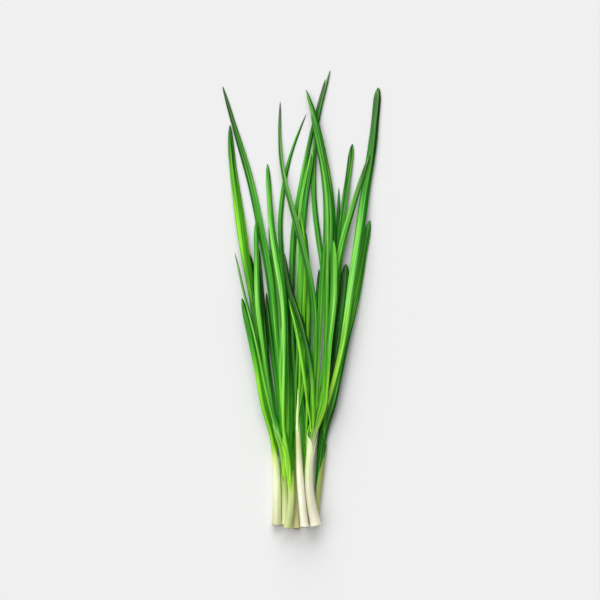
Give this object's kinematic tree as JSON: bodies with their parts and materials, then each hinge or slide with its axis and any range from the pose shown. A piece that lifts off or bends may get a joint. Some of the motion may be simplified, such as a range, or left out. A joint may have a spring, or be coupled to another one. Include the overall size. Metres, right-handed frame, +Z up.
{
  "type": "bunch of spring onions",
  "caption": "Untied bunch of slim spring onions lying flat: cut white shanks together at one end, long hollow green leaves fanned out at the other.",
  "frame": {"origin": "on the table, under the middle of the bunch's bounding box", "axes": "+Y from the cut ends to the leaf tips, +X across the bunch to the right when the tips point away, +Z up off the table"},
  "size_m": [0.1256, 0.3662, 0.0196],
  "materials": {
    "shank": "moist satin",
    "sheath": "moist satin",
    "leaf_lime": "waxy satin",
    "leaf_green": "waxy satin",
    "leaf_mint": "waxy bloom",
    "leaf_deep": "waxy satin"
  },
  "bodies": {
    "root": {"onion_1_shank": "shank", "onion_2_shank": "shank", "onion_3_shank": "shank", "onion_4_shank": "shank", "onion_5_shank": "shank", "onion_6_shank": "shank", "onion_7_shank": "shank", "onion_8_shank": "shank", "onion_5_sheath": "sheath", "onion_3_underleaf": "leaf_deep", "onion_4_underleaf": "leaf_deep", "onion_6_underleaf": "leaf_deep", "onion_8_underleaf": "leaf_deep", "onion_1_leaf_1": "leaf_deep", "onion_1_leaf_2": "leaf_green", "onion_1_leaf_3": "leaf_green", "onion_2_leaf_1": "leaf_green", "onion_2_leaf_2": "leaf_green", "onion_2_leaf_3": "leaf_mint", "onion_2_leaf_4": "leaf_mint", "onion_3_leaf_1": "leaf_mint", "onion_3_leaf_2": "leaf_lime", "onion_3_leaf_3": "leaf_deep", "onion_3_leaf_4": "leaf_mint", "onion_4_leaf_1": "leaf_deep", "onion_4_leaf_2": "leaf_mint", "onion_4_leaf_3": "sheath", "onion_5_leaf_1": "leaf_green", "onion_5_leaf_2": "leaf_lime", "onion_5_leaf_3": "leaf_deep", "onion_6_leaf_1": "leaf_deep", "onion_6_leaf_2": "leaf_deep", "onion_6_leaf_3": "leaf_lime", "onion_6_leaf_4": "leaf_green", "onion_7_leaf_1": "leaf_green", "onion_7_leaf_2": "leaf_mint", "onion_7_leaf_3": "leaf_mint", "onion_7_leaf_4": "leaf_mint", "onion_7_leaf_5": "leaf_green", "onion_7_leaf_6": "leaf_deep", "onion_7_leaf_7": "leaf_lime", "onion_8_leaf_1": "leaf_green", "onion_8_leaf_2": "leaf_green", "onion_8_leaf_3": "leaf_deep", "onion_8_leaf_4": "leaf_green", "onion_8_leaf_5": "leaf_green"}
  },
  "joints": []
}
